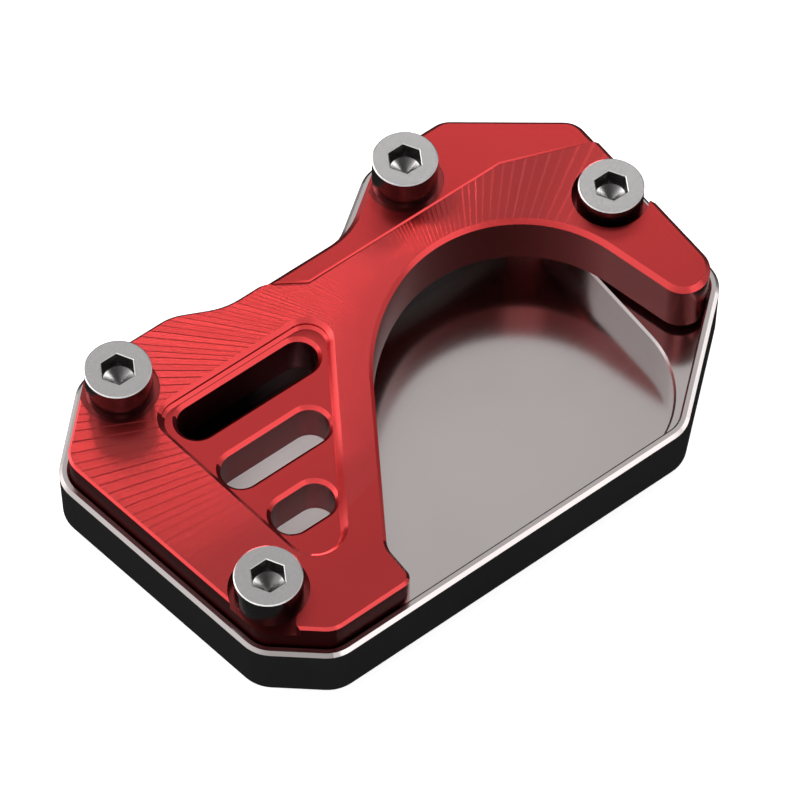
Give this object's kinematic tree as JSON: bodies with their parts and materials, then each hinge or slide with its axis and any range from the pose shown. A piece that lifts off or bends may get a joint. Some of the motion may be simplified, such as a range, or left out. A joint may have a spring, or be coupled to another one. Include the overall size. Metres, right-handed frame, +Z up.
{
  "type": "kickstand foot enlarger",
  "caption": "Flat foot for a motorbike side stand: a tray-shaped base takes the stand's foot and a U-cut clamp plate, screwed down over it, holds the leg.",
  "frame": {"origin": "middle of the base plate's outline, on its underside", "axes": "+X along the straight near edge, towards the arm; +Y from the near edge to the waisted far edge; +Z up, from the ground to the clamp plate"},
  "size_m": [0.085, 0.0556, 0.0203],
  "materials": {
    "base_plate": "black anodised sides and underside, bare machined edge and inside",
    "clamp_plate": "red anodised, fan-shaped cutter marks on the top",
    "cap_screws": "plain stainless steel"
  },
  "bodies": {
    "root": {"base_plate": "base_plate", "clamp_plate": "clamp_plate", "cap_screws": "cap_screws"}
  },
  "joints": []
}
